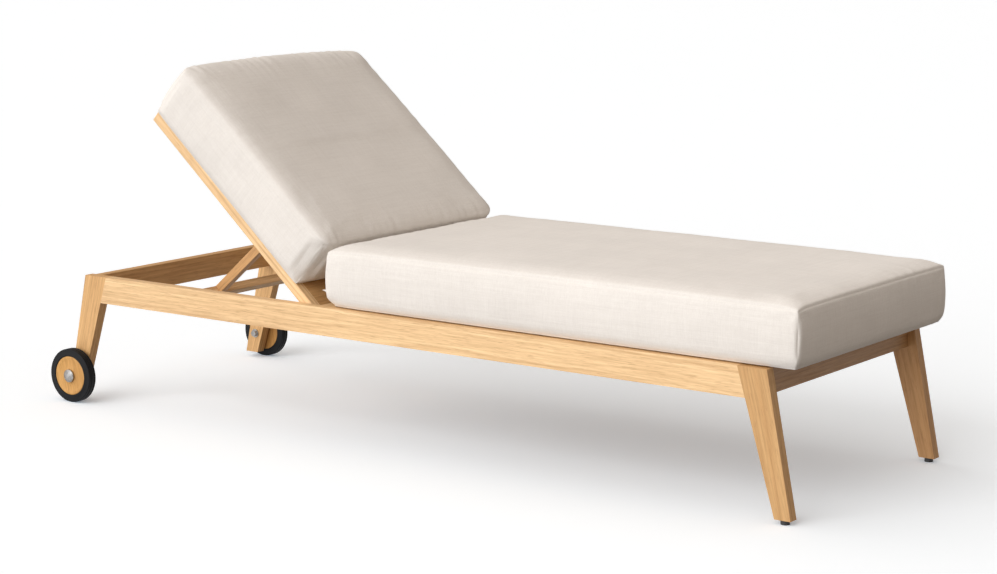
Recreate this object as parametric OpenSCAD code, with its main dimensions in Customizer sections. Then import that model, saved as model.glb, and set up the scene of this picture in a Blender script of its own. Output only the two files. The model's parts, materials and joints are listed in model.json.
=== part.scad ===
// Reclining sun lounger: teak frame on two wheels, prop-up backrest, two box cushions.
// Millimetres. +X runs from the head end to the foot end, +Z is up, Z = 0 is the ground.
// The right-hand side is -Y. The origin is on the ground, below the middle of the whole lounger.

/* [Frame] */
// Length of the frame along the rail tops
frame_len = 1932; // [1800:1:2100]
// Width over the side rails
frame_w = 700; // [600:1:800]
// Height of the rail tops above the ground
rail_top = 322; // [290:1:360]
// Height of a side rail
rail_h = 66; // [60:1:80]
// Height of the cross rails
cross_h = 60; // [50:1:66]
// Thickness of the rails and legs
board_t = 26; // [22:1:32]
// Width of a leg along the rail top
leg_top_w = 70; // [60:1:90]
// Lean of a leg's outer edge, degrees
outer_lean = 11.6; // [8:0.1:14]
// Lean of a leg's inner edge, degrees
inner_lean = 17; // [14:0.1:18]
// Set-back of the cross rails from the frame's ends
cross_inset = 11; // [5:1:20]
// Gap below the rear legs
rear_leg_gap = 15; // [8:1:25]
// Height of the front glides
glide_h = 10; // [5:1:15]
// Diameter of the front glides
glide_d = 20; // [16:1:24]

/* [Seat deck] */
// Number of seat slats
seat_slats = 10; // [8:1:10]
// Width of a seat slat
slat_w = 84; // [50:1:90]
// Thickness of a seat slat
slat_t = 15; // [12:1:18]
// First slat's rear edge, measured from the frame's head end
deck_start = 735; // [730:1:745]

/* [Wheels] */
// Outer diameter of a tyre
wheel_d = 135; // [120:1:140]
// Width of a tyre
tyre_w = 26; // [20:1:30]
// Diameter of the wooden wheel disc
disc_d = 98; // [85:1:100]
// Diameter of an axle bolt
axle_d = 10; // [8:1:12]
// Diameter of the domed cap nut
cap_d = 32; // [26:1:34]

/* [Backrest] */
// Recline angle as drawn, degrees above flat
recline = 41.25; // [30:0.25:45]
// Hinge axis, measured from the frame's head end
hinge_x = 699; // [690:1:705]
// Length of a backrest stile above the hinge
back_len = 637; // [600:1:640]
// Depth of a backrest stile
stile_d = 25.5; // [22:0.5:28]
// Width of a backrest stile
stile_w = 30; // [26:1:36]
// Side gap between stile and side rail
stile_gap = 3; // [2.8:0.1:5]
// Number of backrest slats
back_slats = 4; // [3:1:4]
// Diameter of a hinge pin
pin_d = 12; // [10:1:14]

/* [Prop frame] */
// Hinge to prop pivot, along the backrest
prop_reach = 263; // [240:1:280]
// Square section of the struts and the bar
prop_sec = 22; // [18:1:22]
// Outer face of a strut from the centre line
strut_y = 182; // [150:1:200]
// Diameter of the bar's turned ends
bar_end_d = 18; // [14:1:18]

/* [Cushions] */
// Thickness of the seat cushion
seat_cushion_t = 130; // [80:1:140]
// Length of the seat cushion
seat_cushion_len = 1235; // [1100:1:1300]
// Width of the seat cushion
seat_cushion_w = 690; // [600:1:700]
// Thickness of the back cushion
back_cushion_t = 140; // [80:1:140]
// Length of the back cushion
back_cushion_len = 590; // [560:1:600]
// Width of the back cushion
back_cushion_w = 680; // [560:1:690]

/* [Hidden] */
$fn = 64;
FIT = 0.05;                          // clearance around pins, dowels and screws
RUN = 0.05;                          // radial running clearance in a bearing
REST = 0.3;                          // gap below a cushion
half_w = frame_w / 2;
inner_y = half_w - board_t;          // inner face of a side rail
rail_bottom = rail_top - rail_h;
outer_slope = tan(outer_lean);
inner_slope = tan(inner_lean);
wheel_r = wheel_d / 2;
// Centre line of a leg at a given height, measured from the frame's end
function leg_mid(z) = (leg_top_w - (outer_slope + inner_slope) * (rail_top - z)) / 2;
axle_x = leg_mid(wheel_r);
washer_t = 2.25;
hub_washers = 3;
wheel_in = half_w + hub_washers * washer_t + 0.25;
wheel_out = wheel_in + tyre_w;
cap_seat = wheel_out + 0.2;
cap_h = 8;

slat_gap = (frame_len - leg_top_w + 20 - deck_start - seat_slats * slat_w) / (seat_slats - 1);
cleat_w = 18;
cleat_h = 24;
deck_end = deck_start + seat_slats * slat_w + (seat_slats - 1) * slat_gap;

hinge_z = rail_top - stile_d / 2 + 0.75;  // levels the flat backrest with the seat deck
stile_y = inner_y - stile_gap;       // outer face of a stile
stile_in = stile_y - stile_w;        // inner face of a stile
back_face = stile_d / 2;
stile_tail = 20;
board_back_t = 18;
bottom_board_w = 100;
top_board_w = 42;
back_slat_w = 70;
back_slat_t = 12;
stub = 8;                            // how far a backrest member enters the stile
batten_w = 50;

prop_drop = back_face + prop_sec / 2 + 1.25;
strut_len = prop_reach + prop_drop * tan(recline / 2);
bar_z = hinge_z - prop_drop;
// Distance of the prop bar from the frame's head end at a given recline
function bar_x(angle) = hinge_x - (prop_reach + strut_len) * cos(angle) - prop_drop * sin(angle);
rack_steps = [0, 12, 22, 32, recline];
rack_t = 18;
bar_dip = prop_drop * (1 / cos(recline / 2) - 1);  // the bar's path is this much lower half-way
rack_top = bar_z - bar_dip - bar_end_d / 2 - 1;
rack_margin = 20;
rack_screw_steps = [6, 27, 37];
block_w = 40;
block_y = 25;
prop_pin_d = 8;

seat_cushion_x = frame_len + 68 - seat_cushion_len;
back_cushion_a = 52;                 // from the hinge to the back cushion
origin_x = (axle_x - wheel_r + seat_cushion_x + seat_cushion_len) / 2;

TEAK = [0.85, 0.63, 0.38];
TEAK_DARK = [0.72, 0.5, 0.3];
LINEN = [0.87, 0.84, 0.8];
STEEL = [0.75, 0.75, 0.74];
BLACK = [0.08, 0.08, 0.08];

// ---------- placing helpers ----------

// Everything is drawn from the frame's head end, then moved to the origin
module placed() {
    translate([-origin_x, 0, 0])
        children();
}

// Parts of the backrest are drawn lying flat, pointing along -X from the hinge
module on_back() {
    placed()
        translate([hinge_x, 0, hinge_z])
            rotate([0, recline, 0])
                children();
}

// Parts of the prop frame are drawn lying flat, pointing along -X from the prop pivot
module on_prop() {
    on_back()
        translate([-prop_reach, 0, -prop_drop])
            rotate([0, -2 * recline, 0])
                children();
}

// side is -1 for the right-hand side and 1 for the left
module on_side(side) {
    if (side > 0) children();
    else mirror([0, 1, 0]) children();
}

module both_sides() {
    for (side = [-1, 1])
        on_side(side)
            children();
}

// The foot end mirrors the head end
module at_foot() {
    translate([frame_len, 0, 0])
        mirror([1, 0, 0])
            children();
}

// Box from its low corner to its high corner
module block(low, high) {
    translate(low)
        cube(high - low);
}

// Cylinder along +Y starting at a point
module rod_y(start, length, r) {
    translate(start)
        rotate([-90, 0, 0])
            cylinder(h = length, r = r);
}

// Outline in the X-Z plane, given thickness from y0 to y1
module board_xz(outline, y0, y1) {
    translate([0, y1, 0])
        rotate([90, 0, 0])
            linear_extrude(height = y1 - y0)
                polygon(outline);
}

// Box with four upright rounded corners
module soft_box(size, r) {
    linear_extrude(height = size.z) {
        translate([r, 0])
            square([size.x - 2 * r, size.y]);
        translate([0, r])
            square([size.x, size.y - 2 * r]);
        for (x = [r, size.x - r])
            for (y = [r, size.y - r])
                translate([x, y])
                    circle(r);
    }
}

// ---------- joinery ----------

tenon_t = 9;
tenon_reach = 24;
tenon_h = 34;
tenon_x = leg_top_w - inner_slope * rail_h / 2;
dowel_r = 4;
dowel_len = 36;
dowel_in = 14;                       // how far a dowel enters the leg or rail
dowel_spread = 32;
mid_dowel_spread = 12;

// Loose tenon across a rail-to-leg joint at the head end, left side
module tenon(gap = 0) {
    mid_y = half_w - board_t / 2;
    mid_z = rail_top - rail_h / 2;
    block([tenon_x - tenon_reach - gap, mid_y - tenon_t / 2 - gap, mid_z - tenon_h / 2 - gap],
          [tenon_x + tenon_reach + gap, mid_y + tenon_t / 2 + gap, mid_z + tenon_h / 2 + gap]);
}

cross_x = cross_inset + board_t / 2;
mid_rail_x = deck_start + 38;
mid_rail_h = board_t;
mid_rail_top = rail_top - slat_t - cleat_h;
cross_mid_z = rail_top - cross_h / 2;
mid_mid_z = mid_rail_top - mid_rail_h / 2;

// Dowels into the left end of a cross rail, at a given place and centre height
module dowel_pair(x, z, spread, gap = 0) {
    for (dz = [-spread / 2, spread / 2])
        rod_y([x, inner_y + dowel_in - dowel_len - gap, z + dz], dowel_len + 2 * gap, dowel_r + gap);
}

module all_dowels(gap = 0) {
    dowel_pair(cross_x, cross_mid_z, dowel_spread, gap);
    dowel_pair(frame_len - cross_x, cross_mid_z, dowel_spread, gap);
    dowel_pair(mid_rail_x, mid_mid_z, mid_dowel_spread, gap);
}

// ---------- frame ----------

rail_outline = [
    [leg_top_w, rail_top],
    [frame_len - leg_top_w, rail_top],
    [frame_len - leg_top_w + inner_slope * rail_h, rail_bottom],
    [leg_top_w - inner_slope * rail_h, rail_bottom]
];

bush_r = 8.5;
bush_len = 18;
flange_r = 11.5;
flange_t = stile_gap - 0.6;

module side_rail(side) {
    color(TEAK) placed() on_side(side) difference() {
        board_xz(rail_outline, inner_y, half_w);
        tenon(FIT);
        at_foot() tenon(FIT);
        all_dowels(FIT);
        rack_screws_one_side(FIT);
        rod_y([hinge_x, inner_y - 1, hinge_z], bush_len + 1.5, bush_r + FIT);
    }
}

module leg_blank(foot_z) {
    drop = rail_top - foot_z;
    outline = [
        [0, rail_top],
        [leg_top_w, rail_top],
        [leg_top_w - inner_slope * drop, foot_z],
        [-outer_slope * drop, foot_z]
    ];
    board_xz(outline, inner_y, half_w);
}

module rear_leg(side) {
    color(TEAK) placed() on_side(side) difference() {
        leg_blank(rear_leg_gap);
        tenon(FIT);
        dowel_pair(cross_x, cross_mid_z, dowel_spread, FIT);
        rod_y([axle_x, inner_y - 1, wheel_r], board_t + 2, axle_d / 2 + FIT);
    }
}

nail_r = 1.5;
nail_len = 14;

module front_leg(side) {
    color(TEAK) placed() on_side(side) at_foot() difference() {
        leg_blank(glide_h);
        tenon(FIT);
        dowel_pair(cross_x, cross_mid_z, dowel_spread, FIT);
        translate([leg_mid(glide_h), half_w - board_t / 2, glide_h - 1])
            cylinder(h = nail_len + 2, r = nail_r + FIT);
    }
}

module cross_board(x, top, height, width) {
    difference() {
        block([x - width / 2, -inner_y, top - height], [x + width / 2, inner_y, top]);
        both_sides() all_dowels(FIT);
    }
}

module rear_cross_rail() {
    color(TEAK) placed() cross_board(cross_x, rail_top, cross_h, board_t);
}

module front_apron() {
    color(TEAK) placed() cross_board(frame_len - cross_x, rail_top, cross_h, board_t);
}

module mid_cross_rail() {
    color(TEAK) placed() cross_board(mid_rail_x, mid_rail_top, mid_rail_h, board_t);
}

module rail_tenons() {
    color(TEAK_DARK) placed() both_sides() {
        tenon();
        at_foot() tenon();
    }
}

module cross_dowels() {
    color(TEAK_DARK) placed() both_sides() all_dowels();
}

module front_glides() {
    color(BLACK) placed() both_sides() at_foot()
        translate([leg_mid(glide_h), half_w - board_t / 2, 0]) {
            cylinder(h = glide_h, r = glide_d / 2);
            cylinder(h = glide_h + nail_len, r = nail_r);
        }
}

// ---------- seat deck ----------

screw_r = 2;
screw_len = 30;
screw_head_r = 4;
screw_head_h = 2.5;
slat_screw_y = inner_y - cleat_w / 2;
function slat_x(i) = deck_start + (i - 1) * (slat_w + slat_gap);

// Countersunk screw pointing down from its head
module wood_screw(gap = 0) {
    translate([0, 0, -screw_head_h])
        cylinder(h = screw_head_h + gap, r1 = screw_r + gap, r2 = screw_head_r + gap);
    translate([0, 0, -screw_len - gap])
        cylinder(h = screw_len, r = screw_r + gap);
}

module slat_screw_pair(i, gap = 0) {
    for (y = [-slat_screw_y, slat_screw_y])
        translate([slat_x(i) + slat_w / 2, y, rail_top])
            wood_screw(gap);
}

module slat_cleat(side) {
    color(TEAK) placed() difference() {
        on_side(side)
            block([deck_start, inner_y - cleat_w, rail_top - slat_t - cleat_h],
                  [deck_end, inner_y, rail_top - slat_t]);
        for (i = [1:seat_slats]) slat_screw_pair(i, FIT);
    }
}

module seat_slat(i) {
    color(TEAK) placed() difference() {
        block([slat_x(i), 0.5 - inner_y, rail_top - slat_t],
              [slat_x(i) + slat_w, inner_y - 0.5, rail_top]);
        slat_screw_pair(i, FIT);
    }
}

module slat_screws() {
    color(STEEL) placed()
        for (i = [1:seat_slats]) slat_screw_pair(i);
}

// ---------- prop racks ----------

// Notch centres sit lower than the bar, so that the bar can drop in
notch_drop = 8;
rack_screw_z = (rail_bottom + rack_top - 5) / 2;

module rack_screws_one_side(gap = 0) {
    for (angle = rack_screw_steps)
        translate([bar_x(angle), inner_y - rack_t, rack_screw_z])
            rotate([90, 0, 0])
                wood_screw(gap);
}

module prop_rack(side) {
    color(TEAK) placed() on_side(side) difference() {
        block([bar_x(0) - rack_margin, inner_y - rack_t, rail_bottom + 1],
              [bar_x(recline) + rack_margin, inner_y, rack_top]);
        for (angle = rack_steps)
            rod_y([bar_x(angle), inner_y - rack_t - 1, bar_z - notch_drop], rack_t + 2,
                  bar_end_d / 2 + REST);
        rack_screws_one_side(FIT);
    }
}

module rack_screws() {
    color(STEEL) placed() both_sides() rack_screws_one_side();
}

// ---------- backrest hinge ----------

pin_reach = 17;                      // pin inside the bush
pin_hold = 22;                       // pin inside the stile

module hinge_bush(side) {
    color(BLACK) placed() on_side(side) difference() {
        union() {
            rod_y([hinge_x, inner_y, hinge_z], bush_len, bush_r);
            rod_y([hinge_x, inner_y - flange_t, hinge_z], flange_t, flange_r);
        }
        rod_y([hinge_x, inner_y - flange_t - 1, hinge_z], bush_len + flange_t + 2, pin_d / 2 + RUN);
    }
}

module hinge_pin(side) {
    color(STEEL) on_back() on_side(side)
        rod_y([0, stile_y - pin_hold, 0], pin_hold + stile_gap + pin_reach, pin_d / 2);
}

// ---------- wheels ----------

bush_wheel_r = axle_d / 2 + 4;

module axle_bolt(side) {
    head_h = 7;
    head_y = inner_y - washer_t - head_h;
    color(STEEL) placed() on_side(side) {
        translate([axle_x, head_y, wheel_r])
            rotate([-90, 0, 0])
                cylinder(h = head_h, r = axle_d * 0.85, $fn = 6);
        rod_y([axle_x, head_y, wheel_r], cap_seat + cap_h - 3 - head_y, axle_d / 2);
    }
}

// One washer under the bolt head and a stack between the leg and the wheel
module axle_washers() {
    seats = concat([inner_y - washer_t], [for (i = [0:hub_washers - 1]) half_w + i * washer_t]);
    color(STEEL) placed() both_sides()
        for (y = seats)
            difference() {
                rod_y([axle_x, y, wheel_r], washer_t, axle_d * 1.15);
                rod_y([axle_x, y - 1, wheel_r], washer_t + 2, axle_d / 2 + FIT);
            }
}

module hub_cap(side) {
    rise = cap_h - 4;
    dome_r = (pow(cap_d / 2, 2) + rise * rise) / (2 * rise);
    color(STEEL) placed() on_side(side) difference() {
        intersection() {
            rod_y([axle_x, cap_seat, wheel_r], cap_h, cap_d / 2);
            translate([axle_x, cap_seat + cap_h - dome_r, wheel_r])
                sphere(r = dome_r, $fn = 96);
        }
        rod_y([axle_x, cap_seat - 1, wheel_r], cap_h - 1.9, axle_d / 2 + FIT);
    }
}

module wheel_disc(side) {
    color(TEAK) placed() on_side(side) difference() {
        rod_y([axle_x, wheel_in + 1, wheel_r], tyre_w - 2, disc_d / 2);
        rod_y([axle_x, wheel_in, wheel_r], tyre_w, bush_wheel_r + FIT);
    }
}

module wheel_bush(side) {
    color(BLACK) placed() on_side(side) difference() {
        rod_y([axle_x, wheel_in, wheel_r], tyre_w, bush_wheel_r);
        rod_y([axle_x, wheel_in - 1, wheel_r], tyre_w + 2, axle_d / 2 + RUN);
    }
}

tyre_round = 6;

// Half-section of a tyre: square against the disc, rounded at the tread
module tyre_section() {
    inner = disc_d / 2 + FIT;
    outer = wheel_r;
    translate([inner, 0])
        square([outer - tyre_round - inner, tyre_w]);
    translate([inner, tyre_round])
        square([outer - inner, tyre_w - 2 * tyre_round]);
    for (y = [tyre_round, tyre_w - tyre_round])
        translate([outer - tyre_round, y])
            circle(tyre_round);
}

module tyre(side) {
    color(BLACK) placed() on_side(side)
        translate([axle_x, wheel_in, wheel_r])
            rotate([-90, 0, 0])
                rotate_extrude($fn = 96)
                    tyre_section();
}

// ---------- backrest ----------

back_slat_pitch = (back_len - top_board_w - bottom_board_w + stile_tail) / (back_slats + 1);
function back_slat_a(i) = bottom_board_w - stile_tail + i * back_slat_pitch;

// Board across the backrest, from one distance above the hinge to another
module back_board(a0, a1, n0, n1, reach, gap = 0) {
    block([-a1 - gap, -reach - gap, n0 - gap], [-a0 + gap, reach + gap, n1 + gap]);
}

module bottom_board(gap = 0) {
    back_board(-stile_tail + 2, bottom_board_w - stile_tail, back_face - board_back_t, back_face,
               stile_in + stub, gap);
}

module top_board(gap = 0) {
    back_board(back_len - top_board_w, back_len - 6, back_face - board_back_t, back_face,
               stile_in + stub, gap);
}

module back_slat_board(i, gap = 0) {
    back_board(back_slat_a(i) - back_slat_w / 2, back_slat_a(i) + back_slat_w / 2,
               back_face - back_slat_t, back_face, stile_in + stub, gap);
}

module batten_board(gap = 0) {
    back_board(prop_reach - batten_w / 2, prop_reach + batten_w / 2, -back_face,
               back_face - back_slat_t - 0.1, stile_in + stub, gap);
}

module back_stile(side) {
    color(TEAK) on_back() difference() {
        on_side(side)
            block([-back_len, stile_in, -back_face], [stile_tail, stile_y, back_face]);
        bottom_board(FIT);
        top_board(FIT);
        batten_board(FIT);
        for (i = [1:back_slats]) back_slat_board(i, FIT);
        on_side(side)
            rod_y([0, stile_y - pin_hold - FIT, 0], pin_hold + 1, pin_d / 2 + FIT);
    }
}

module back_bottom_rail() {
    color(TEAK) on_back() difference() {
        bottom_board();
        both_sides()
            rod_y([0, stile_y - pin_hold - FIT, 0], pin_hold + 1, pin_d / 2 + FIT);
    }
}

module back_top_rail() {
    color(TEAK) on_back() top_board();
}

module back_slat(i) {
    color(TEAK) on_back() back_slat_board(i);
}

module prop_batten() {
    color(TEAK) on_back() batten_board();
}

// ---------- prop frame ----------

block_gap = 1;                       // side play between strut and block

module prop_block(side) {
    drop = prop_drop + prop_sec / 2 + 4;
    color(TEAK) on_back() on_side(side) difference() {
        block([-prop_reach - block_w / 2, strut_y + block_gap, -drop],
              [-prop_reach + block_w / 2, strut_y + block_gap + block_y, -back_face]);
        rod_y([-prop_reach, strut_y, -prop_drop], block_y + 4, prop_pin_d / 2 + FIT);
    }
}

module prop_pins() {
    head_h = 4;
    start = strut_y - prop_sec - head_h - 0.5;
    color(STEEL) on_back() both_sides() {
        rod_y([-prop_reach, start, -prop_drop], head_h, prop_pin_d);
        rod_y([-prop_reach, start, -prop_drop], head_h + 0.5 + prop_sec + block_gap + 20,
              prop_pin_d / 2);
    }
}

module prop_strut(side) {
    foot = strut_len - prop_sec / 2;
    color(TEAK) on_prop() on_side(side) difference() {
        union() {
            block([-foot, strut_y - prop_sec, -prop_sec / 2], [0, strut_y, prop_sec / 2]);
            rod_y([0, strut_y - prop_sec, 0], prop_sec, prop_sec / 2);
        }
        rod_y([0, strut_y - prop_sec - 1, 0], prop_sec + 2, prop_pin_d / 2 + RUN);
    }
}

module prop_bar() {
    square_reach = stile_in + 9;
    end_reach = inner_y - 4;
    color(TEAK) on_prop() translate([-strut_len, 0, 0]) {
        block([-prop_sec / 2, -square_reach, -prop_sec / 2], [prop_sec / 2, square_reach, prop_sec / 2]);
        rod_y([0, -end_reach, 0], 2 * end_reach, bar_end_d / 2);
    }
}

// ---------- cushions ----------

cushion_round = 25;

module seat_cushion() {
    color(LINEN) placed()
        translate([seat_cushion_x, -seat_cushion_w / 2, rail_top + REST])
            soft_box([seat_cushion_len, seat_cushion_w, seat_cushion_t], cushion_round);
}

module back_cushion() {
    color(LINEN) on_back()
        translate([-back_cushion_a - back_cushion_len, -back_cushion_w / 2, back_face + REST])
            soft_box([back_cushion_len, back_cushion_w, back_cushion_t], cushion_round);
}

// ---------- drawing ----------

side_rail(-1);  // side_rail_right
side_rail(1);  // side_rail_left
rear_leg(-1);  // rear_leg_right
rear_leg(1);  // rear_leg_left
front_leg(-1);  // front_leg_right
front_leg(1);  // front_leg_left
rear_cross_rail();
mid_cross_rail();
front_apron();
rail_tenons();
cross_dowels();
slat_cleat(-1);  // slat_cleat_right
slat_cleat(1);  // slat_cleat_left
for (i = [1:seat_slats]) seat_slat(i);
slat_screws();
prop_rack(-1);  // prop_rack_right
prop_rack(1);  // prop_rack_left
rack_screws();
front_glides();
hinge_bush(-1);  // hinge_bush_right
hinge_bush(1);  // hinge_bush_left
hinge_pin(-1);  // hinge_pin_right
hinge_pin(1);  // hinge_pin_left
axle_bolt(-1);  // axle_bolt_right
axle_bolt(1);  // axle_bolt_left
axle_washers();
hub_cap(-1);  // hub_cap_right
hub_cap(1);  // hub_cap_left
wheel_disc(-1);  // wheel_disc_right
wheel_disc(1);  // wheel_disc_left
tyre(-1);  // tyre_right
tyre(1);  // tyre_left
wheel_bush(-1);  // wheel_bush_right
wheel_bush(1);  // wheel_bush_left
back_stile(-1);  // back_stile_right
back_stile(1);  // back_stile_left
back_bottom_rail();
back_top_rail();
for (i = [1:back_slats]) back_slat(i);
prop_batten();
prop_block(-1);  // prop_block_right
prop_block(1);  // prop_block_left
prop_pins();
prop_strut(-1);  // prop_strut_right
prop_strut(1);  // prop_strut_left
prop_bar();
seat_cushion();
back_cushion();
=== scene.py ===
"""Looks of the reclining sun lounger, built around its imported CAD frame.

Metres, +Z up. The right side is at -Y, which is the near side in the camera's view.
"""

import json
import math
import random
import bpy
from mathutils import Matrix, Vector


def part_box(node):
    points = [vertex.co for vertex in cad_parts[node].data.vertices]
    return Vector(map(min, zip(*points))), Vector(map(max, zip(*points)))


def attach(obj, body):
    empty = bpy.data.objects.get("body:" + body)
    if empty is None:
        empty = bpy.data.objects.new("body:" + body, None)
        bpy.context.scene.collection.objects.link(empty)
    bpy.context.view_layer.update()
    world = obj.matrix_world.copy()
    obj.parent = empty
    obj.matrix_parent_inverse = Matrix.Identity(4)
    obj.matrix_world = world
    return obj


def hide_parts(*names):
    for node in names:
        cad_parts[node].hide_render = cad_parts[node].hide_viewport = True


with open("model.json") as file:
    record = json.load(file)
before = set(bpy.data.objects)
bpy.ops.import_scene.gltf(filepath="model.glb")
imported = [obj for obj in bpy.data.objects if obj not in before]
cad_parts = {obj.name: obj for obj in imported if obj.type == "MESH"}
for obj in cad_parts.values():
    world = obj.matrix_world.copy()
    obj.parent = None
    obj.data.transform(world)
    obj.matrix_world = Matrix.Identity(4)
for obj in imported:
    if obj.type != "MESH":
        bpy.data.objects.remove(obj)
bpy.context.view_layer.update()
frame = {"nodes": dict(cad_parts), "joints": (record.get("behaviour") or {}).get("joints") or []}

from types import SimpleNamespace

import bpy
import numpy as np
from mathutils import Matrix, Vector
from mathutils.bvhtree import BVHTree

scene = bpy.context.scene
nodes = frame["nodes"]
joints = {joint["name"]: joint for joint in frame["joints"]}
SIDES = {"right": -1, "left": 1}

# How the backrest leans at rest: it can go down by the joint's whole range to lie flat
RECLINE = -math.radians(joints["recline"]["range_deg"][0])
HINGE = Vector(joints["recline"]["pos_m"])
ON_SEAT = Matrix.Identity(4)
ON_BACK = Matrix.Translation(HINGE) @ Matrix.Rotation(RECLINE, 4, "Y")


# ---------- camera, light and floor ----------


def make_camera():
    """Stands off the foot end's near corner, a little above the cushions, and looks along the lounger."""
    yaw, pitch, roll = math.radians(35.275), math.radians(-9.809), math.radians(0.325)
    data = bpy.data.cameras.new("camera")
    data.sensor_width = 36
    data.lens = 89.49
    data.clip_end = 200
    camera = bpy.data.objects.new("camera", data)
    scene.collection.objects.link(camera)
    turn = (
        Matrix.Rotation(yaw, 4, "Z")
        @ Matrix.Rotation(math.pi / 2 + pitch, 4, "X")
        @ Matrix.Rotation(roll, 4, "Z")
    )
    stand = (3.3987, -4.7194, 1.3482)
    camera.matrix_world = Matrix.Translation(stand) @ turn
    scene.camera = camera


def add_sun(name, towards, strength, colour, softness):
    light = bpy.data.lights.new(name, "SUN")
    light.energy = strength
    light.color = colour
    light.angle = math.radians(softness)
    sun = bpy.data.objects.new(name, light)
    sun.rotation_euler = Vector(towards).to_track_quat("Z", "Y").to_euler()
    scene.collection.objects.link(sun)


def make_stage():
    """A pale floor, a soft key light from the near side, a wider one from the head end, and a warm glow."""
    add_sun("key", (-0.12, -0.92, 0.36), 1.92, (0.97, 0.985, 1.0), 60)
    add_sun("wide_fill", (-0.65, -0.66, 0.36), 1.56, (0.97, 0.985, 1.0), 130)
    world = bpy.data.worlds.new("studio")
    world.use_nodes = True
    background = world.node_tree.nodes["Background"]
    background.inputs["Color"].default_value = (1.0, 0.87, 0.75, 1)
    facing = add(world, "TexCoord").outputs["Generated"]
    height = add(world, "SeparateXYZ", {0: facing}).outputs["Z"]
    glow = remap(world, height, -0.25, 0.35, 0.17, 0.46)
    world.node_tree.links.new(glow, background.inputs["Strength"])
    scene.world = world
    scene.view_settings.view_transform = "Standard"

    half = 60
    mesh = bpy.data.meshes.new("floor")
    corners = [(-half, -half, 0), (half, -half, 0), (half, half, 0), (-half, half, 0)]
    mesh.from_pydata(corners, [], [(0, 1, 2, 3)])
    floor = bpy.data.objects.new("floor", mesh)
    scene.collection.objects.link(floor)
    floor.visible_diffuse = False
    mat = new_material("floor_paper", roughness=0.9)
    shader_of(mat).inputs["Base Color"].default_value = (0.955, 0.98, 1.0, 1)
    shader_of(mat).inputs["Emission Color"].default_value = (0.70, 0.85, 1.0, 1)
    shader_of(mat).inputs["Emission Strength"].default_value = 0.21
    mesh.materials.append(mat)


# ---------- material helpers ----------


def new_material(name, roughness=0.5, metallic=0.0):
    mat = bpy.data.materials.new(name)
    mat.use_nodes = True
    shader = shader_of(mat)
    shader.inputs["Roughness"].default_value = roughness
    shader.inputs["Metallic"].default_value = metallic
    return mat


def shader_of(mat):
    return mat.node_tree.nodes["Principled BSDF"]


def add(mat, kind, inputs=None, **settings):
    """Adds a shader node. inputs gives its sockets, by name or number, a value or another node's output."""
    node = mat.node_tree.nodes.new("ShaderNode" + kind)
    for name, value in settings.items():
        setattr(node, name, value)
    for socket, value in (inputs or {}).items():
        if isinstance(value, bpy.types.NodeSocket):
            mat.node_tree.links.new(value, node.inputs[socket])
        else:
            node.inputs[socket].default_value = value
    return node


def calc(mat, operation, a, b=0.0):
    return add(mat, "Math", {0: a, 1: b}, operation=operation).outputs[0]


def stretched(mat, vector, scale):
    """The vector, scaled axis by axis."""
    return add(mat, "Mapping", {"Vector": vector, "Scale": scale}).outputs[0]


def noise(mat, vector, detail=2.0, roughness=0.5, scale=1.0):
    inputs = {"Vector": vector, "Scale": scale, "Detail": detail, "Roughness": roughness}
    return add(mat, "TexNoise", inputs).outputs["Fac"]


def ramp(mat, factor, stops):
    """Colour ramp over stops of (position, colour)."""
    node = add(mat, "ValToRGB", {"Fac": factor})
    elements = node.color_ramp.elements
    for number, (position, colour) in enumerate(stops):
        element = elements[number] if number < 2 else elements.new(position)
        element.position = position
        element.color = (*colour, 1)
    return node.outputs["Color"]


def mix(mat, factor, a, b, blend="MIX"):
    inputs = {0: factor, 6: a, 7: b}
    return add(mat, "Mix", inputs, data_type="RGBA", blend_type=blend).outputs[2]


def remap(mat, value, low, high, to_low=0.0, to_high=1.0):
    inputs = {"Value": value, "From Min": low, "From Max": high, "To Min": to_low, "To Max": to_high}
    return add(mat, "MapRange", inputs).outputs[0]


def bump(mat, height, distance, strength=1.0):
    node = add(mat, "Bump", {"Height": height, "Distance": distance, "Strength": strength})
    mat.node_tree.links.new(node.outputs[0], shader_of(mat).inputs["Normal"])


def drive(mat, socket, value):
    mat.node_tree.links.new(value, shader_of(mat).inputs[socket])


def grey(value):
    return (value, value, value)


# ---------- teak ----------

HONEY = (0.94, 0.67, 0.38)
BROWN = (0.52, 0.275, 0.10)


def lying(tilt=0.0, across=False):
    """How a board lies: its length along X, tilted about Y by tilt radians, or across the lounger."""
    turn = Matrix.Rotation(tilt, 3, "Y")
    return turn @ Matrix.Rotation(math.pi / 2, 3, "Z") if across else turn


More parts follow.
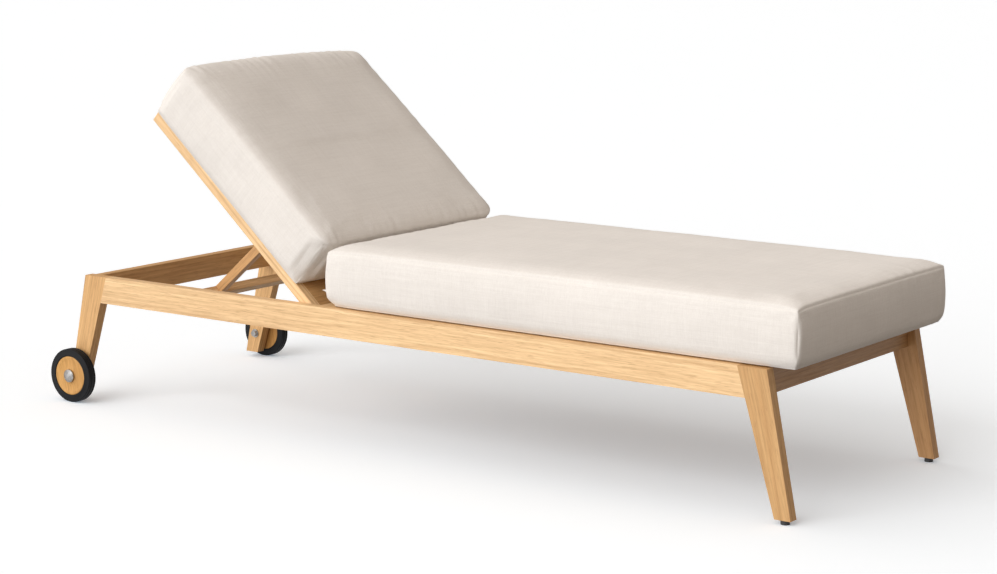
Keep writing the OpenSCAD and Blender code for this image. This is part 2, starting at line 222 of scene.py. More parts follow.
def teak(name, centre, turn, seed, light=HONEY, dark=BROWN, figure=0.5):
    """Oiled teak: growth rings round a pith beside the board, fibres and pores along it, and slow tones."""
    draw = random.Random(seed)
    along, side = draw.uniform(-9, 9), draw.choice((-1, 1))
    pith = Vector((along, side * draw.uniform(0.03, 0.08), draw.uniform(0.025, 0.07)))
    mat = new_material(name)
    here = add(mat, "TexCoord").outputs["Object"]
    placed = {"Vector": here, "Location": centre - turn @ pith, "Rotation": turn.to_euler()}
    wood = add(mat, "Mapping", placed, vector_type="TEXTURE").outputs[0]

    warp = noise(mat, stretched(mat, wood, (1.6, 9, 9)), detail=2)
    parts = add(mat, "SeparateXYZ", {0: wood})
    taper = calc(mat, "MULTIPLY", parts.outputs["X"], draw.uniform(0.004, 0.012))
    across = add(mat, "CombineXYZ", {"Y": parts.outputs["Y"], "Z": parts.outputs["Z"]}).outputs[0]
    radius = add(mat, "VectorMath", {0: across}, operation="LENGTH").outputs["Value"]
    radius = calc(mat, "ADD", calc(mat, "ADD", radius, taper), calc(mat, "MULTIPLY", warp, 0.035))
    rings = add(
        mat,
        "TexNoise",
        {"W": calc(mat, "MULTIPLY", radius, 150.0), "Scale": 1.0, "Detail": 2.5, "Roughness": 0.55},
        noise_dimensions="1D",
    ).outputs["Fac"]
    fibres = noise(mat, stretched(mat, wood, (7, 210, 210)), detail=3, roughness=0.65)
    pores = noise(mat, stretched(mat, wood, (34, 900, 900)), detail=1)
    tone = noise(mat, stretched(mat, wood, (1.3, 11, 11)), detail=2)

    colour = ramp(mat, remap(mat, rings, 0.30, 0.78), [(0.0, light), (1.0, dark)])
    pale = mix(mat, 1.0 - figure, colour, (*light, 1))
    streaks = ramp(mat, fibres, [(0.32, (0.70, 0.62, 0.52)), (0.62, (1.06, 1.05, 1.04))])
    streaked = mix(mat, 0.62, pale, streaks, "MULTIPLY")
    flecks = ramp(mat, pores, [(0.30, (0.55, 0.45, 0.36)), (0.40, grey(1.0))])
    flecked = mix(mat, 0.5, streaked, flecks, "MULTIPLY")
    tones = ramp(mat, tone, [(0.3, (0.90, 0.86, 0.82)), (0.7, (1.05, 1.05, 1.03))])
    drive(mat, "Base Color", mix(mat, 0.8, flecked, tones, "MULTIPLY"))
    drive(mat, "Roughness", remap(mat, fibres, 0.25, 0.75, 0.62, 0.44))
    height = calc(mat, "ADD", calc(mat, "MULTIPLY", fibres, 0.6), calc(mat, "MULTIPLY", pores, 0.4))
    bump(mat, height, 0.0005, 0.35)
    return mat


# ---------- other materials ----------


def linen(name):
    """Plain woven outdoor cloth: crossing threads of slightly different shades, with slubs and fine bumps."""
    mat = new_material(name, roughness=0.86)
    shader = shader_of(mat)
    shader.inputs["Sheen Weight"].default_value = 0.25
    shader.inputs["Sheen Roughness"].default_value = 0.5
    shader.inputs["Specular IOR Level"].default_value = 0.25
    here = add(mat, "TexCoord").outputs["Object"]
    shade = None
    for axis in range(3):
        thread = [620.0] * 3
        thread[axis] = 14.0
        slub = [130.0] * 3
        slub[axis] = 5.0
        fine = noise(mat, stretched(mat, here, thread), detail=1)
        thick = noise(mat, stretched(mat, here, slub), detail=2)
        one = calc(mat, "ADD", calc(mat, "MULTIPLY", fine, 0.65), calc(mat, "MULTIPLY", thick, 0.35))
        shade = one if shade is None else calc(mat, "ADD", shade, one)
    flax = [(0.0, (0.755, 0.71, 0.665)), (1.0, (0.84, 0.80, 0.755))]
    cloth = ramp(mat, remap(mat, shade, 1.15, 1.85), flax)
    patches = ramp(mat, noise(mat, here, detail=2, scale=7.0), [(0.3, grey(0.965)), (0.7, grey(1.02))])
    drive(mat, "Base Color", mix(mat, 1.0, cloth, patches, "MULTIPLY"))
    weave = None
    for direction in "XYZ":
        wave = add(mat, "TexWave", {"Vector": here, "Scale": 175.0, "Distortion": 0.6, "Detail": 1.0},
                   bands_direction=direction)
        height = wave.outputs["Fac"]
        weave = height if weave is None else calc(mat, "ADD", weave, height)
    bump(mat, calc(mat, "ADD", calc(mat, "MULTIPLY", weave, 0.35), shade), 0.0005, 0.5)
    return mat


def rubber(name):
    mat = new_material(name)
    here = add(mat, "TexCoord").outputs["Object"]
    grain = noise(mat, here, detail=4, roughness=0.6, scale=420.0)
    dust = noise(mat, here, detail=3, scale=26.0)
    shader_of(mat).inputs["Specular IOR Level"].default_value = 0.22
    drive(mat, "Base Color", ramp(mat, dust, [(0.35, (0.003, 0.0035, 0.005)), (0.75, (0.009, 0.009, 0.010))]))
    drive(mat, "Roughness", remap(mat, dust, 0.3, 0.7, 0.50, 0.68))
    bump(mat, grain, 0.0003, 0.3)
    return mat


def steel(name, centre=None):
    """Stainless steel, turned in rings round an axis along Y if a centre is given."""
    mat = new_material(name, metallic=1.0)
    here = add(mat, "TexCoord").outputs["Object"]
    if centre is None:
        lines = noise(mat, stretched(mat, here, (90, 900, 900)), detail=2)
    else:
        moved = add(mat, "Mapping", {"Vector": here, "Location": -Vector(centre)}).outputs[0]
        lines = add(mat, "TexWave", {"Vector": moved, "Scale": 260.0, "Distortion": 1.5, "Detail": 2.0},
                    wave_type="RINGS", rings_direction="Y").outputs["Fac"]
    smudge = noise(mat, here, detail=2, scale=60.0 if centre is None else 150.0)
    drive(mat, "Base Color", ramp(mat, smudge, [(0.3, (0.26, 0.25, 0.24)), (0.7, (0.44, 0.43, 0.42))]))
    drive(mat, "Roughness", remap(mat, lines, 0.2, 0.8, 0.26, 0.42))
    bump(mat, lines, 0.0002, 0.25 if centre is None else 0.7)
    return mat


def plastic(name, light=False):
    mat = new_material(name)
    here = add(mat, "TexCoord").outputs["Object"]
    grain = noise(mat, here, detail=3, scale=700.0)
    wear = noise(mat, here, detail=2, scale=45.0)
    shade = (0.60, 0.57, 0.53) if light else (0.016, 0.016, 0.017)
    worn = (0.68, 0.65, 0.61) if light else (0.030, 0.030, 0.031)
    drive(mat, "Base Color", ramp(mat, wear, [(0.3, shade), (0.7, worn)]))
    drive(mat, "Roughness", remap(mat, wear, 0.3, 0.7, 0.38, 0.52))
    bump(mat, grain, 0.0002, 0.3)
    return mat


# ---------- CAD nodes that stay ----------


def soften(obj, width):
    """Rounds a board's edges as sandpaper does, without touching its mesh."""
    weld = obj.modifiers.new("weld", "WELD")
    weld.merge_threshold = 1e-5
    planar = obj.modifiers.new("planar", "DECIMATE")
    planar.decimate_type = "DISSOLVE"
    planar.angle_limit = math.radians(0.5)
    edges = obj.modifiers.new("edges", "BEVEL")
    edges.width = width
    edges.segments = 2
    edges.limit_method = "ANGLE"
    edges.angle_limit = math.radians(40)
    edges.use_clamp_overlap = True
    shade = obj.modifiers.new("shade", "WEIGHTED_NORMAL")
    shade.keep_sharp = False


def centre_of(node):
    low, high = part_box(node)
    return (low + high) / 2


def repaint(node, mat):
    mesh = nodes[node].data
    for number in range(max(1, len(mesh.materials))):
        if number < len(mesh.materials):
            mesh.materials[number] = mat
        else:
            mesh.materials.append(mat)


def dress_wood():
    """Gives every wooden CAD node its own board of teak, with the grain along it. Some boards get a darker
    teak as painted shade: the far front leg, the front apron, the prop strut, the rear cross rail and the
    backrest's bottom rail.
    """
    splay = math.radians(14.3)
    leg = math.pi / 2 - splay
    eased_edge = 0.0016
    plans = [
        ("side_rail", lying(), dict(figure=0.42)),
        ("rear_leg", lying(-leg), dict(figure=0.62, light=(0.84, 0.53, 0.24))),
        # The far front leg's darker teak is painted shade: the shadow of the seat and its cushion, not the
        # wood's own tone.
        ("front_leg_left", lying(leg - math.pi), dict(figure=0.62, light=(0.46, 0.25, 0.10))),
        ("front_leg_right", lying(leg - math.pi), dict(figure=0.62, light=(0.64, 0.39, 0.17))),
        ("slat_cleat", lying(), {}),
        ("prop_rack", lying(), {}),
        # The prop strut's darker teak is painted shade from the cushions above it.
        ("prop_strut", lying(-RECLINE), dict(figure=0.6, light=(0.70, 0.41, 0.18))),
        ("prop_block", lying(RECLINE), {}),
        ("back_stile", lying(RECLINE), dict(figure=0.4)),
        # The rear cross rail's darker teak is painted shade under the seat cushion.
        ("rear_cross_rail", lying(across=True), dict(figure=0.6, light=(0.70, 0.43, 0.19))),
        ("mid_cross_rail", lying(across=True), {}),
        # The front apron's darker teak is painted shade under the cushion's overhang.
        ("front_apron", lying(across=True), dict(figure=0.6, light=(0.38, 0.21, 0.09))),
        ("seat_slat", lying(across=True), {}),
        # The backrest's bottom rail gets darker teak as painted shade between the two cushions.
        ("back_bottom_rail", lying(RECLINE, across=True), dict(figure=0.6, light=(0.70, 0.43, 0.19))),
        ("back_top_rail", lying(RECLINE, across=True), {}),
        ("back_slat", lying(RECLINE, across=True), {}),
        ("prop_batten", lying(RECLINE, across=True), {}),
        ("prop_bar", lying(-RECLINE, across=True), {}),
        ("rail_tenons", lying(), {}),
        ("cross_dowels", lying(across=True), {}),
    ]
    for number, node in enumerate(sorted(nodes)):
        for start, turn, options in plans:
            if node.startswith(start):
                mat = teak("teak_" + node, centre_of(node), turn, 40 + number, **options)
                repaint(node, mat)
                soften(nodes[node], eased_edge)
                break


def dress_hardware():
    """Fasteners and pins in steel, glides and bushes in plastic, and the domed cap nuts in turned steel."""
    bare_steel = steel("bright_steel")
    moulded = plastic("moulded_plastic")
    steel_nodes = ("slat_screws", "rack_screws", "hinge_pin", "prop_pins", "axle_bolt", "axle_washers")
    plastic_nodes = ("front_glides", "hinge_bush", "wheel_bush")
    for node in sorted(nodes):
        if node.startswith(steel_nodes):
            repaint(node, bare_steel)
        if node.startswith(plastic_nodes):
            repaint(node, moulded)
    for side in SIDES:
        spin = joints["wheel_" + side + "_spin"]["pos_m"]
        repaint("hub_cap_" + side, steel("turned_steel_" + side, spin))


# ---------- meshes ----------


def make_object(name, points, faces, mat, place=None, smooth=True):
    mesh = bpy.data.meshes.new(name)
    mesh.from_pydata([tuple(p) for p in points], [], faces)
    mesh.polygons.foreach_set("use_smooth", [smooth] * len(mesh.polygons))
    mesh.materials.append(mat)
    obj = bpy.data.objects.new(name, mesh)
    scene.collection.objects.link(obj)
    if place is not None:
        obj.matrix_world = place
    return obj


def turned_shape(name, profile, centre, outward, mat, steps=128):
    """A solid turned about an axis along Y. profile holds (radius, distance along Y) and closes on itself."""
    points, faces = [], []
    count = len(profile)
    for step in range(steps):
        angle = 2 * math.pi * step / steps
        for radius, y in profile:
            points.append((radius * math.cos(angle), outward * y, radius * math.sin(angle)))
    for step in range(steps):
        following = (step + 1) % steps
        for k in range(count):
            after = (k + 1) % count
            face = (step * count + k, step * count + after, following * count + after, following * count + k)
            faces.append(face if outward < 0 else face[::-1])
    return make_object(name, points, faces, mat, Matrix.Translation(centre))


def arc(centre, radius, start, end, steps):
    """Points on an arc, as (radius, y) pairs, from start to end in degrees."""
    angles = [math.radians(start + (end - start) * k / steps) for k in range(steps + 1)]
    return [(centre[0] + radius * math.cos(a), centre[1] + radius * math.sin(a)) for a in angles]


def dress_wheels():
    """Tyres with a bead, rounded shoulders and tread grooves, and turned wooden discs."""
    black = rubber("tyre_rubber")
    for side, sign in SIDES.items():
        spin = Vector(joints["wheel_" + side + "_spin"]["pos_m"])
        low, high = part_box("tyre_" + side)
        inner, outer = sorted((sign * (low.y - spin.y), sign * (high.y - spin.y)))
        disc_low, disc_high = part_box("wheel_disc_" + side)
        disc_r = (disc_high.z - disc_low.z) / 2
        tread_r = (high.z - low.z) / 2
        make_tyre(side, sign, spin, black, inner, outer, disc_r, tread_r)
        bush_low, bush_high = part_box("wheel_bush_" + side)
        ends = sorted((sign * (disc_low.y - spin.y), sign * (disc_high.y - spin.y)))
        make_disc(side, sign, spin, ends, disc_r, (bush_high.z - bush_low.z) / 2)


def groove(y, radius, width, depth):
    """A round-bottomed groove in a tread, seen in section."""
    return [(radius, y - width / 2), (radius - depth * 0.8, y - width / 4), (radius - depth, y),
            (radius - depth * 0.8, y + width / 4), (radius, y + width / 2)]


def make_tyre(side, sign, spin, mat, inner, outer, disc_r, tread_r):
    """A solid tyre in section: a bead against the disc, a wall, a shoulder and two grooves in the tread."""
    shoulder_r, step, bead = 0.0032, 0.0010, 0.0040
    groove_in, groove_w, groove_d = 0.0075, 0.0030, 0.0018
    fit_r, lip_r, bead_r = disc_r + 0.0001, disc_r + 0.0012, disc_r + bead
    profile = [(fit_r, inner + step), (lip_r, inner), (bead_r, inner), (bead_r + step, inner + step)]
    profile += arc((tread_r - shoulder_r, inner + step + shoulder_r), shoulder_r, -90, 0, 7)
    profile += groove(inner + groove_in, tread_r, groove_w, groove_d)
    profile += groove(outer - groove_in, tread_r, groove_w, groove_d)
    profile += arc((tread_r - shoulder_r, outer - step - shoulder_r), shoulder_r, 0, 90, 7)
    profile += [(bead_r + step, outer - step), (bead_r, outer), (lip_r, outer), (fit_r, outer - step)]
    tyre = turned_shape("tyre_tread_" + side, profile, spin, sign, mat)
    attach(tyre, "wheel_" + side)
    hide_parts("tyre_" + side)


def make_disc(side, sign, spin, ends, disc_r, bore_r):
    """A turned wooden disc: eased rim, a shallow dish and a raised land round the bore."""
    inner, outer = ends
    edge, hollow, bend = 0.0022, 0.0012, 0.0025
    profile = [(bore_r, inner), (disc_r - edge, inner)]
    profile += arc((disc_r - edge, inner + edge), edge, -90, 0, 4)
    profile += arc((disc_r - edge, outer - edge), edge, 0, 90, 4)
    rim, land, slope = disc_r - 0.006, bore_r + 0.010, 0.006
    profile += [(rim, outer), (rim - bend, outer - hollow / 2), (rim - slope, outer - hollow)]
    profile += [(land + slope, outer - hollow), (land + bend, outer - hollow / 2), (land, outer)]
    profile += [(bore_r, outer)]
    wood = teak("turned_teak_" + side, Vector((0, 0, 0)), lying(math.pi / 2.3), 7 + sign, figure=0.55,
                light=(0.67, 0.365, 0.105), dark=(0.42, 0.195, 0.05))
    disc = turned_shape("turned_disc_" + side, profile, spin, sign, wood)
    sharp = disc.modifiers.new("split", "EDGE_SPLIT")
    sharp.split_angle = math.radians(50)
    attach(disc, "wheel_" + side)
    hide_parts("wheel_disc_" + side)


# ---------- cushions ----------

# The form of a cushion, in metres unless said otherwise:
#   corners                     radii of the upright edges (low-X end, high-X end)
#   pressure, give              air pressure in the cloth simulation, and the most that it may move the cover
#   crown, roll_share, roll_r   height of the filling, the roll at the seams' share of it, that roll's radius
#   lift, arch                  top seam raised all round, and at the low-X end between its corners
#   head, bow                   boxing pushed out at the low-X end, evenly and in an arc
#   bulge, tuck, valley         boxing's belly, its pull inwards at the bottom, and at the upright seams
#   droop, heels, rise          top corners lowered, bottom ones pulled in (low-X, high-X end), bottom seam up
#   pucker, crease              depth of the folds along the seams, and at the corners
#   stitch, waves               depth of the sunk stitching, and of slow waves all over
SEAT_FORM = SimpleNamespace(
    seed=5, corners=(0.003, 0.003), pressure=3.0, give=0.004,
    crown=0.0185, roll_share=0.8, roll_r=0.05, lift=0.0, arch=0.0, head=0.003, bow=0.0,
    bulge=0.0095, tuck=0.006, valley=0.0025, droop=0.005, heels=(0.012, 0.004), rise=0.004,
    pucker=0.0014, crease=0.0009, stitch=0.0028, waves=0.0006,
)
BACK_FORM = SimpleNamespace(
    seed=9, corners=(0.018, 0.042), pressure=4.0, give=0.005,
    crown=0.024, roll_share=0.8, roll_r=0.03, lift=-0.004, arch=0.010, head=0.006, bow=0.007,
    bulge=0.008, tuck=0.010, valley=0.0, droop=0.0, heels=(0.007, 0.006), rise=0.003,
    pucker=0.0018, crease=0.0006, stitch=0.0014, waves=0.0012,
)

# The cover's mesh: a border along each seam is finer than the panels' middles
SEAM_BORDER = 0.09
SEAM_GRID = 0.0075
PANEL_GRID = 0.015
BOXING_GRID = 0.0085


def node_box_in(node, place):
    """Lowest and highest corner of a CAD node in a local frame."""
    inverse = place.inverted()
    points = np.array([inverse @ v.co for v in nodes[node].data.vertices])
    return points.min(0), points.max(0)


def graded(length, border, fine, coarse):
    """Grid lines along one side: one close to each seam, then fine ones, and coarser ones in the middle."""
    edge = np.linspace(0, border, round(border / fine) + 1)
    edge = np.insert(edge, 1, fine / 3)
    middle = np.linspace(border, length - border, max(2, round((length - 2 * border) / coarse) + 1))
    return np.concatenate([edge[:-1], middle, (length - edge[::-1])[1:]])


def shell(xs, ys, zs):
    """A closed quad shell over a lattice box: its points, its faces and each point's place in the lattice."""
    last = (len(xs) - 1, len(ys) - 1, len(zs) - 1)
    index, faces = {}, []

    def at(*key):
        return index.setdefault(key, len(index))

    for axis in range(3):
        u, v = (axis + 1) % 3, (axis + 2) % 3
        for end in (0, last[axis]):
            for i in range(last[u]):
                for j in range(last[v]):
                    corners = []
                    for di, dj in ((0, 0), (1, 0), (1, 1), (0, 1)):
                        key = [0, 0, 0]
                        key[axis], key[u], key[v] = end, i + di, j + dj
                        corners.append(at(*key))
                    faces.append(corners if end else corners[::-1])
    places = np.array(list(index))
    points = np.stack([xs[places[:, 0]], ys[places[:, 1]], zs[places[:, 2]]], 1)
    return points, faces, places, np.array(last)


def swell(distance, reach):
    """From 0 at an edge to 1 well inside it."""
    return 1 - np.exp(-np.maximum(distance, 0) / reach)


def roll(distance, radius, share):
    """As swell, but this share of the height is reached in a steep roll out of the seam, over radius."""
    near = np.clip(distance / radius, 0, 1)
    return share * np.sqrt(1 - (1 - near) ** 2) + (1 - share) * swell(distance, 3 * radius)


def from_edges(points, size):
    """How far each point lies inside the box's ends along X and along Y."""
    return size[0] / 2 - abs(points[:, 0]), size[1] / 2 - abs(points[:, 1])


def crowned(points, size, form):
    """Bends a flat box into a filled cushion. Its far side rolls more tightly, and its corners droop less."""
    far_roll, far_droop = 0.6, 0.3
    corner_reach, side_reach, upright_reach = 0.035, 0.05, 0.008
    seam_reach, seam_h, heel_h = 0.018, 0.03, 0.035
    p = points.copy()
    x, y, z = points.T
    in_x, in_y = from_edges(points, size)
    level = z / size[2]
    inside = np.clip(level, 0, 1)
    low_end, near = x < 0, y < 0
    corner = np.exp(-in_x / corner_reach) * np.exp(-in_y / corner_reach)

    side_roll = np.where(near, form.roll_r, far_roll * form.roll_r)
    dome = roll(in_x, form.roll_r, form.roll_share) * roll(in_y, side_roll, form.roll_share)
    raised = form.lift + form.arch * swell(in_y, 0.12) * np.exp(-in_x / 0.20) * low_end
    p[:, 2] += level * raised + form.crown * dome * level**3
    p[:, 2] -= form.droop * np.where(near, 1.0, far_droop) * corner * level**2
    p[:, 2] += form.rise * np.exp(-np.minimum(in_x, in_y) / seam_reach) * np.clip(1 - z / seam_h, 0, 1)

    belly = form.bulge * np.sin(np.pi * inside) ** 0.8 - form.tuck * np.clip(1 - level * 6, 0, 1) ** 2
    valley = form.valley * np.clip(3 * np.sin(np.pi * inside), 0, 1)
    end_push = (form.head + form.bow * swell(in_y, size[1] / 8)) * low_end
    out_x = belly * (0.6 + 0.4 * swell(in_y, 0.06)) + end_push - valley * np.exp(-in_y / upright_reach)
    out_y = belly * (0.6 + 0.4 * swell(in_x, 0.06)) - valley * np.exp(-in_x / upright_reach)
    heel = np.where(low_end, *form.heels) * np.clip(1 - z / heel_h, 0, 1) ** 2
    pull = corner * (heel + 0.6 * form.droop * near * np.clip(level - 0.6, 0, 1))
    p[:, 0] += np.sign(x) * (np.exp(-in_x / side_reach) * out_x - pull)
    p[:, 1] += np.sign(y) * (np.exp(-in_y / side_reach) * out_y - pull)
    return p


def round_corners(points, size, radii):
    """Rounds the four upright edges, with one radius at the low-X end and one at the high-X end."""
    p = points.copy()
    half = np.array(size[:2]) / 2
    radius = np.where(p[:, 0] < 0, *radii)
    side = np.sign(p[:, :2])
    centre = side * (half - radius[:, None])
    off = (p[:, :2] - centre) * side
    reach = np.linalg.norm(off, axis=1)
    squash = np.where((off > 0).all(1) & (reach > radius), radius / np.maximum(reach, 1e-9), 1.0)
    p[:, :2] = centre + (p[:, :2] - centre) * squash[:, None]
    return p


def coordinates(mesh):
    co = np.zeros(len(mesh.vertices) * 3)
    mesh.vertices.foreach_get("co", co)
    return co.reshape(-1, 3)


def inflate(obj, held, seams, pressure, cap, slack=0.003, gather=0.008, frames=14):
    """Blows the cover up as cloth: seams gathered, bottom held, and each point kept within its cap."""
    start = coordinates(obj.data)
    hold = obj.vertex_groups.new(name="hold")
    hold.add([int(i) for i in np.flatnonzero(held)], 1.0, "REPLACE")
    sewn = obj.vertex_groups.new(name="sewn")
    sewn.add([int(i) for i in np.flatnonzero(seams)], 1.0, "REPLACE")
    cloth = obj.modifiers.new("Cloth", "CLOTH")
    settings = cloth.settings
    settings.quality = 6
    settings.mass = 0.2
    settings.tension_stiffness = 25
    settings.compression_stiffness = 25
    settings.shear_stiffness = 8
    settings.bending_stiffness = 0.4
    settings.use_pressure = True
    settings.uniform_pressure_force = pressure
    settings.vertex_group_mass = "hold"
    settings.vertex_group_shrink = "sewn"
    settings.shrink_min = -slack
    settings.shrink_max = gather
    settings.effector_weights.gravity = 0
    cloth.collision_settings.use_collision = False
    for number in range(1, frames + 1):
        scene.frame_set(number)
    posed = obj.evaluated_get(bpy.context.evaluated_depsgraph_get())
    moved = coordinates(posed.data) - start
    obj.modifiers.remove(cloth)
    scene.frame_set(1)
    far = np.linalg.norm(moved, axis=1)
    moved *= (cap * np.tanh(far / cap) / np.maximum(far, 1e-9))[:, None]
    obj.data.vertices.foreach_set("co", (start + moved).ravel())
    obj.data.update()


def wavy(along, seed, shortest, longest):
    """An uneven wave along a seam, about -1 to 1, that fades in and out."""
    draw = random.Random(seed)
    total = np.zeros(len(along))
    for _ in range(4):
        total += np.sin(along * 2 * np.pi / draw.uniform(shortest, longest) + draw.uniform(0, 6.28))
    fade = 0.5 + 0.5 * np.sin(along * 2 * np.pi / draw.uniform(0.19, 0.33) + draw.uniform(0, 6.28))
    return total / 2.4 * (0.25 + 0.75 * fade)


def seam_relief(box, size, form):
    """Sunk stitching and puckers along the seams: gentle on the boxing, steep on the panel beside it."""
    low_end_more, sides_less = 1.8, 0.55
    boxing_reach, panel_reach = 0.014, 0.026
    in_x, in_y = from_edges(box, size)
    under, over = box[:, 2], size[2] - box[:, 2]
    on_boxing = (over > 1e-5) & (under > 1e-5)
    out = np.zeros(len(box))
    seams = []
    for gap, depth, folds in ((over, 1.0, 1.0), (under, 0.3, 0.5)):
        seams.append((np.hypot(in_x, gap), box[:, 1], depth, folds))
        seams.append((np.hypot(in_y, gap), box[:, 0], depth, folds))
    for number, (off, along, depth, folds) in enumerate(seams):
        gentle = 0.55 * np.exp(-off / 0.012) + 0.45 * np.exp(-((off / 0.0020) ** 2))
        steep = np.exp(-((off / 0.0022) ** 2))
        out -= form.stitch * depth * np.where(on_boxing, gentle, steep)
        wave = wavy(along, form.seed + number, 0.024, 0.052)
        fade = np.exp(-off / np.where(on_boxing, boxing_reach, panel_reach)) * swell(off, 0.005)
        strength = np.where(in_x < in_y, np.where(box[:, 0] < 0, low_end_more, 1.0), sides_less)
        out += form.pucker * folds * strength * wave * fade
    upright = np.hypot(in_x, in_y)
    return out - 0.4 * form.stitch * np.exp(-((upright / 0.0026) ** 2))


def corner_folds(box, size, form):
    """Folds that fan out round each of the eight corners."""
    in_x, in_y = from_edges(box, size)
    out = np.zeros(len(box))
    for number, gap in enumerate((size[2] - box[:, 2], box[:, 2])):
        reach = np.sqrt(in_x**2 + in_y**2 + gap**2)
        turn = np.arctan2(gap, in_x + in_y)
        fade = np.exp(-reach / 0.040) * swell(reach, 0.030)
        for side in (-1, 1):
            for end in (-1, 1):
                here = (np.sign(box[:, 0]) == end) & (np.sign(box[:, 1]) == side)
                draw = random.Random(form.seed * 31 + number * 4 + side + end * 2)
                folds = np.sin(turn * draw.uniform(6, 9) + 25 * reach + draw.uniform(0, 6.28))
                folds += 0.6 * np.sin(turn * draw.uniform(11, 15) - 60 * reach + draw.uniform(0, 6.28))
                out += here * form.crease * folds * fade
    return out


def slow_waves(box, seed):
    """Slow, shallow waves over the whole cover, about -1 to 1."""
    draw = random.Random(seed)
    total = np.zeros(len(box))
    for _ in range(7):
        heading = Vector((draw.gauss(0, 1), draw.gauss(0, 1), draw.gauss(0, 1))).normalized()
        wave = heading / draw.uniform(0.11, 0.30)
        total += np.sin(box @ np.array(wave) * 2 * np.pi + draw.uniform(0, 6.28))
    return total / 4


def refine(obj, box):
    """Subdivides the cover once for good, and gives where the finer mesh's points lie on the flat box."""
    layer = obj.data.attributes.new("flat_box", "FLOAT_VECTOR", "POINT")
    layer.data.foreach_set("vector", box.ravel())
    finer = obj.modifiers.new("finer", "SUBSURF")
    finer.levels = finer.render_levels = 1
    mesh = bpy.data.meshes.new_from_object(obj.evaluated_get(bpy.context.evaluated_depsgraph_get()))
    obj.modifiers.remove(finer)
    obj.data = mesh
    flat = np.zeros(len(mesh.vertices) * 3)
    mesh.attributes["flat_box"].data.foreach_get("vector", flat)
    mesh.attributes.remove(mesh.attributes["flat_box"])
    return flat.reshape(-1, 3)


def make_cushion(name, node, place, body, mat, form):
    """A box cushion in the space of its CAD solid: cover panels, boxing and sewn edges."""
    low, high = node_box_in(node, place)
    size = high - low
    middle = (low + high) / 2
    step = 1.0
    xs = graded(size[0], SEAM_BORDER, SEAM_GRID * step, PANEL_GRID * step) - size[0] / 2
    ys = graded(size[1], SEAM_BORDER, SEAM_GRID * step, PANEL_GRID * step) - size[1] / 2
    zs = graded(size[2], size[2] / 3, SEAM_GRID * step, BOXING_GRID * step)
    box, faces, places, last = shell(xs, ys, zs)
    points = round_corners(crowned(box, size, form), size, form.corners)
    local = place @ Matrix.Translation((middle[0], middle[1], low[2]))
    obj = make_object(name, points, faces, mat, local)
    seams = ((places == 0) | (places == last)).sum(1) >= 2
    under = places[:, 2] == 0
    in_z = np.minimum(box[:, 2], size[2] - box[:, 2])
    off_seam = np.sort(np.stack([*from_edges(box, size), in_z]), axis=0)[1]
    seam_give = 0.002
    cap = seam_give + (form.give - seam_give) * swell(off_seam, 0.02)
    inflate(obj, under & ~seams, seams, form.pressure, cap)
    flat = refine(obj, box)
    co = coordinates(obj.data)
    normals = np.array([v.normal for v in obj.data.vertices])
    out = seam_relief(flat, size, form) + corner_folds(flat, size, form)
    out += form.waves * slow_waves(flat, form.seed) * (flat[:, 2] > 0.002)
    co += normals * out[:, None]
    co[:, 2] = np.maximum(co[:, 2], 0)
    obj.data.vertices.foreach_set("co", co.ravel())
    obj.data.update()
    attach(obj, body)
    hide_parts(node)
    return obj, size


# ---------- zips and tabs ----------


def join(parts):
    """Joins (points, faces) pairs into one."""
    points, faces = [], []
    for some_points, some_faces in parts:
        faces += [tuple(i + len(points) for i in face) for face in some_faces]
        points += some_points
    return points, faces


def block(low, high):
    """A box between two opposite corners, given in any order."""
    low, high = [min(pair) for pair in zip(low, high)], [max(pair) for pair in zip(low, high)]
    points = [(x, y, z) for x in (low[0], high[0]) for y in (low[1], high[1]) for z in (low[2], high[2])]
    faces = [(0, 1, 3, 2), (4, 6, 7, 5), (0, 4, 5, 1), (2, 3, 7, 6), (0, 2, 6, 4), (1, 5, 7, 3)]
    return points, faces


def strip(track, levels, thickness):
    """A closed ribbon. Each row of track turns a level into a point and its outward normal."""
    gap = 0.0004
    points, faces = [], []
    rows, columns = len(track), len(levels)
    for skin in (0, thickness):
        for row in track:
            for level in levels:
                base, normal = row(level)
                points.append(base + normal * (gap + skin))
    count = rows * columns
    for r in range(rows - 1):
        for c in range(columns - 1):
            a, b = r * columns + c, r * columns + c + 1
            d, e = a + columns, b + columns
            faces.append((a, d, e, b))
            faces.append((a + count, b + count, e + count, d + count))
    rim = [r * columns for r in range(rows)] + [(rows - 1) * columns + c for c in range(1, columns)]
    rim += [r * columns + columns - 1 for r in range(rows - 2, -1, -1)] + list(range(columns - 2, 0, -1))
    for here, following in zip(rim, rim[1:] + rim[:1]):
        faces.append((here, here + count, following + count, following))
    return points, faces


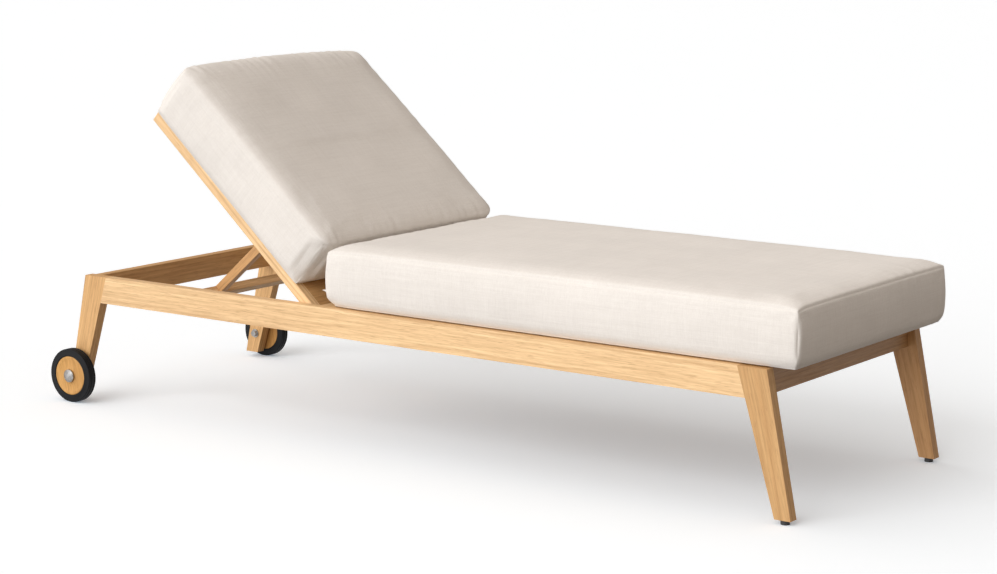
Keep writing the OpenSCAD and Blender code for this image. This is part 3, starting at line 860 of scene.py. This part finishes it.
def make_zip(name, cushion, size, body, end, level, reach, tape_mat, chain_mat):
    """A closed nylon zip on the boxing of a cushion's end, -1 or 1 along X: tape, chain, slider and pull."""
    mesh = cushion.data
    tree = BVHTree.FromPolygons([v.co for v in mesh.vertices], [p.vertices for p in mesh.polygons])
    place = cushion.matrix_world

    def on_cover(y, z):
        hit, *_ = tree.ray_cast(Vector((end * size[0], y, z)), Vector((-end, 0, 0)))
        return hit, Vector((end, 0, 0))

    tape_half, chain_half, tape_t = 0.0135, 0.007, 0.0009
    track = [(lambda z, y=y: on_cover(y, z)) for y in np.linspace(-reach, reach, 81)]
    levels = [level + offset for offset in (-tape_half, -chain_half, 0, chain_half, tape_half)]
    points, faces = strip(track, levels, tape_t)
    outward = faces if end > 0 else [face[::-1] for face in faces]
    tape = make_object(name + "_tape", points, outward, tape_mat, place, smooth=False)

    pitch, stagger, tooth_root = 0.0036, 0.0009, 0.0012
    tooth_h, tooth_y, tooth_z = 0.0022, 0.0013, 0.0027
    teeth = []
    for number in range(int(2 * reach / pitch) - 4):
        y = -reach + 0.008 + number * pitch
        z = level + (stagger if number % 2 else -stagger)
        base = on_cover(y, level)[0].x + end * tooth_root
        tip = base + end * tooth_h
        teeth.append(block((base, y - tooth_y, z - tooth_z), (tip, y + tooth_y, z + tooth_z)))
    chain = make_object(name + "_chain", *join(teeth), chain_mat, place, smooth=False)

    slider_in, slider_root = 0.016, 0.0030
    y = -reach + slider_in
    base = on_cover(y, level)[0].x + end * slider_root
    body_span = (0, -0.007, -0.0050), (0.0032, 0.006, 0.0050)
    loop_span = (0.0032, -0.003, -0.0014), (0.0056, 0.003, 0.0014)
    pull_span = (0.0036, 0.001, -0.0026), (0.0050, 0.026, 0.0026)
    blocks = []
    for span in (body_span, loop_span, pull_span):
        blocks.append(block(*[(base + end * dx, y + dy, level + dz) for dx, dy, dz in span]))
    slider = make_object(name + "_slider", *join(blocks), chain_mat, place, smooth=False)
    edges = slider.modifiers.new("edges", "BEVEL")
    edges.width = 0.0007
    edges.segments = 2
    for piece, slot in ((tape, "cushion_fabric"), (chain, "bush_plastic"), (slider, "bush_plastic")):
        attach(piece, body)


def make_tab(name, cushion, body, mat, root, tip, width, thickness=0.0012):
    """A folded fabric tab that is sewn in at root and narrows to tip, both in the cushion's frame."""
    root, tip = Vector(root), Vector(tip)
    half_width = Vector((0, width / 2, 0))
    steps = 6
    points, faces = [], []
    for k in range(steps + 1):
        t = k / steps
        here = root.lerp(tip, t) + Vector((0, 0, 0.004 * math.sin(math.pi * t)))
        narrow = 1 - 0.75 * t**3
        for lift in (0, thickness):
            for sign in (-1, 1):
                points.append(here + half_width * sign * narrow + Vector((0, 0, lift)))
    for k in range(steps):
        a, b = 4 * k, 4 * k + 4
        faces += [(a, b, b + 1, a + 1), (a + 2, a + 3, b + 3, b + 2)]
        faces += [(a, a + 2, b + 2, b), (a + 1, b + 1, b + 3, a + 3)]
    faces += [(0, 1, 3, 2), (4 * steps, 4 * steps + 2, 4 * steps + 3, 4 * steps + 1)]
    tab = make_object(name, points, faces, mat, cushion.matrix_world)
    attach(tab, body)


def dress_cushions():
    """Both cushions, the zips on the ends that face each other, and the tab at the seat's rear corner."""
    cloth = linen("woven_linen")
    webbing = linen("zip_tape_linen")
    nylon = plastic("zip_nylon", light=True)
    seat, size = make_cushion("seat_cushion_cover", "seat_cushion", ON_SEAT, "frame", cloth, SEAT_FORM)
    make_zip("seat_zip", seat, size, "frame", -1, size[2] * 0.52, size[1] / 2 - 0.05, webbing, nylon)
    rear, near = -size[0] / 2, -size[1] / 2
    root = (rear + 0.002, near + 0.020, 0.030)
    tip = (rear - 0.020, near + 0.018, 0.036)
    make_tab("seat_tab", seat, "frame", webbing, root, tip, 0.024)
    back, size = make_cushion("back_cushion_cover", "back_cushion", ON_BACK, "backrest", cloth, BACK_FORM)
    make_zip("back_zip", back, size, "backrest", 1, size[2] * 0.42, size[1] / 2 - 0.075, webbing, nylon)


make_camera()
make_stage()
dress_wood()
dress_hardware()
dress_wheels()
dress_cushions()
